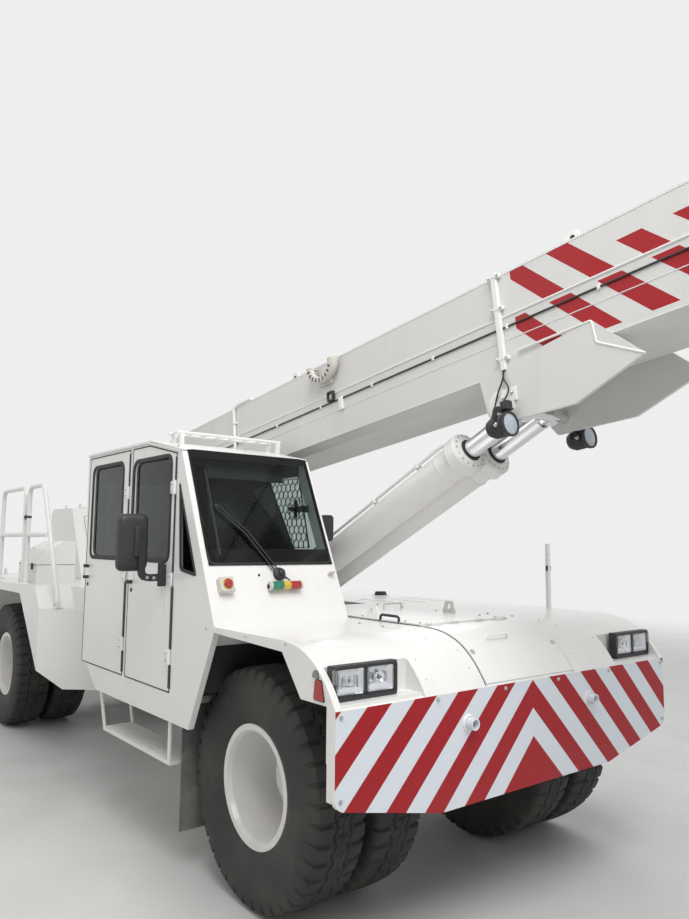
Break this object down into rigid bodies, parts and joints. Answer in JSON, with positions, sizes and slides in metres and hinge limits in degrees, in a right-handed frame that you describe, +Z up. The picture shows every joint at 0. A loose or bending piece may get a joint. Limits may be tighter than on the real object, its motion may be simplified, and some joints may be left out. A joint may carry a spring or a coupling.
{
  "type": "articulated pick-and-carry mobile crane",
  "caption": "Articulated pick-and-carry crane with twin-tyred axles, a side cab, a telescopic boom raised by paired cylinders, and a decked rear body with an engine cowl.",
  "frame": {"origin": "on the floor below the steering pivot, midway between the axles", "axes": "+X forwards, +Y to the vehicle's left, +Z up"},
  "size_m": [11.2639, 3.31, 3.9894],
  "materials": {
    "white_paint": "gloss",
    "tyre": "matt",
    "black_steel": "satin",
    "black_plastic": "matt",
    "glass": "clear",
    "lamp_glass": "clear",
    "red_lamp": "gloss",
    "chrome": "polished",
    "galvanised": "satin",
    "rubber": "matt",
    "seat_cloth": "matt",
    "cast_steel": "satin",
    "bumper_paint": "gloss"
  },
  "bodies": {
    "front_frame": {"front_axle": "black_steel", "front_chassis": "white_paint", "front_body": "white_paint", "left_side_body": "white_paint", "centre_deck": "white_paint", "deck_cover": "white_paint", "bumper_plate": "bumper_paint", "lamp_housings": "black_plastic", "lamp_lenses": "lamp_glass", "cab_shell": "white_paint", "cab_roof": "white_paint", "windscreen": "glass", "cab_glass": "glass", "driver_seat": "seat_cloth", "steering_column": "black_plastic", "mirror_left": "black_plastic", "side_steps": "galvanised", "roof_rack": "white_paint", "marker_post": "white_paint", "boom_tower": "white_paint", "winch": "black_steel", "mud_flaps": "rubber"},
    "rear_frame": {"rear_chassis": "white_paint", "rear_axle": "black_steel", "rear_body": "white_paint", "engine_cowl": "white_paint", "engine_block": "cast_steel", "counterweight": "white_paint", "tail_lamps": "red_lamp", "handrails": "white_paint", "deck_locker": "white_paint"},
    "boom": {"boom_base": "white_paint", "work_lamps": "black_plastic", "boom_siren": "white_paint"},
    "stage_2": {"boom_stage_2": "white_paint"},
    "stage_3": {"boom_stage_3": "white_paint"},
    "stage_4": {"boom_stage_4": "white_paint", "head_sheaves": "black_steel"},
    "hook": {"hook_block": "black_steel"},
    "lift_barrels": {"lift_barrels": "white_paint"},
    "lift_rods": {"lift_rods": "chrome"},
    "door_front": {"door_front": "white_paint", "door_front_glass": "glass", "mirror_right": "black_plastic"},
    "door_rear": {"door_rear": "white_paint", "door_rear_glass": "glass"},
    "nose_lid": {"nose_lid": "white_paint"},
    "steer_barrel_left": {"steer_barrel_left": "white_paint"},
    "steer_rod_left": {"steer_rod_left": "chrome"},
    "wheel_front_left": {"tyre_front_left": "tyre", "rim_front_left": "white_paint"},
    "wheel_rear_left": {"tyre_rear_left": "tyre", "rim_rear_left": "white_paint"},
    "steer_barrel_right": {"steer_barrel_right": "white_paint"},
    "steer_rod_right": {"steer_rod_right": "chrome"},
    "wheel_front_right": {"tyre_front_right": "tyre", "rim_front_right": "white_paint"},
    "wheel_rear_right": {"tyre_rear_right": "tyre", "rim_rear_right": "white_paint"}
  },
  "joints": [
    {"name": "steering", "type": "hinge", "parent": "front_frame", "child": "rear_frame", "pos_m": [0, 0, 0.69], "axis": [0, 0, 1], "range_deg": [-40, 40]},
    {"name": "boom_luff", "type": "hinge", "parent": "front_frame", "child": "boom", "pos_m": [-0.305, 0, 2.65], "axis": [0, -1, 0], "range_deg": [-7, 56]},
    {"name": "wheel_front_left_spin", "type": "hinge", "parent": "front_frame", "child": "wheel_front_left", "pos_m": [2.745, 0, 0.685], "axis": [0, 1, 0], "continuous": true},
    {"name": "wheel_front_right_spin", "type": "hinge", "parent": "front_frame", "child": "wheel_front_right", "pos_m": [2.745, 0, 0.685], "axis": [0, 1, 0], "continuous": true},
    {"name": "wheel_rear_left_spin", "type": "hinge", "parent": "rear_frame", "child": "wheel_rear_left", "pos_m": [-2.745, 0, 0.685], "axis": [0, 1, 0], "continuous": true},
    {"name": "wheel_rear_right_spin", "type": "hinge", "parent": "rear_frame", "child": "wheel_rear_right", "pos_m": [-2.745, 0, 0.685], "axis": [0, 1, 0], "continuous": true},
    {"name": "stage_2_slide", "type": "slide", "parent": "boom", "child": "stage_2", "axis": [0.9923, 0, 0.1236], "range_m": [0, 3.8]},
    {"name": "stage_3_slide", "type": "slide", "parent": "stage_2", "child": "stage_3", "axis": [0.9923, 0, 0.1236], "range_m": [0, 3.8]},
    {"name": "stage_4_slide", "type": "slide", "parent": "stage_3", "child": "stage_4", "axis": [0.9923, 0, 0.1236], "range_m": [0, 3.8]},
    {"name": "hook_swing", "type": "hinge", "parent": "stage_4", "child": "hook", "pos_m": [6.62388, 0, 3.33165], "axis": [0, -1, 0], "range_deg": [-56, 7]},
    {"name": "lift_barrel_tilt", "type": "hinge", "parent": "front_frame", "child": "lift_barrels", "pos_m": [0.795, 0, 1.42], "axis": [0, -1, 0], "range_deg": [-8, 54]},
    {"name": "lift_rod_slide", "type": "slide", "parent": "lift_barrels", "child": "lift_rods", "axis": [0.8962, 0, 0.4437], "range_m": [-0.194, 1.52]},
    {"name": "steer_barrel_left_turn", "type": "hinge", "parent": "front_frame", "child": "steer_barrel_left", "pos_m": [0.42, 0.4, 0.69], "axis": [0, 0, 1], "range_deg": [-27, 27]},
    {"name": "steer_rod_left_slide", "type": "slide", "parent": "steer_barrel_left", "child": "steer_rod_left", "axis": [-1, 0, 0], "range_m": [-0.28, 0.28]},
    {"name": "steer_barrel_right_turn", "type": "hinge", "parent": "front_frame", "child": "steer_barrel_right", "pos_m": [0.42, -0.4, 0.69], "axis": [0, 0, 1], "range_deg": [-27, 27]},
    {"name": "steer_rod_right_slide", "type": "slide", "parent": "steer_barrel_right", "child": "steer_rod_right", "axis": [-1, 0, 0], "range_m": [-0.28, 0.28]},
    {"name": "door_front_swing", "type": "hinge", "parent": "front_frame", "child": "door_front", "pos_m": [1.991, -1.5023, 1.9], "axis": [0, 0, 1], "range_deg": [0, 80]},
    {"name": "door_rear_swing", "type": "hinge", "parent": "front_frame", "child": "door_rear", "pos_m": [1.191, -1.5023, 1.9], "axis": [0, 0, 1], "range_deg": [0, 80]},
    {"name": "nose_lid_lift", "type": "hinge", "parent": "front_frame", "child": "nose_lid", "pos_m": [3.27, 0, 1.615], "axis": [0, -1, 0], "range_deg": [0, 60]}
  ],
  "couplings": [
    {"joint": "stage_3_slide", "follows": "stage_2_slide", "ratio": 1},
    {"joint": "stage_4_slide", "follows": "stage_2_slide", "ratio": 1},
    {"joint": "hook_swing", "follows": "boom_luff", "ratio": -1},
    {"joint": "lift_barrel_tilt", "follows": "boom_luff", "ratio": 0.94},
    {"joint": "lift_rod_slide", "follows": "boom_luff", "m_per_rad": 1.55},
    {"joint": "steer_barrel_left_turn", "follows": "steering", "ratio": 0.64},
    {"joint": "steer_rod_left_slide", "follows": "steering", "m_per_rad": 0.3937},
    {"joint": "steer_barrel_right_turn", "follows": "steering", "ratio": 0.64},
    {"joint": "steer_rod_right_slide", "follows": "steering", "m_per_rad": -0.3937}
  ]
}
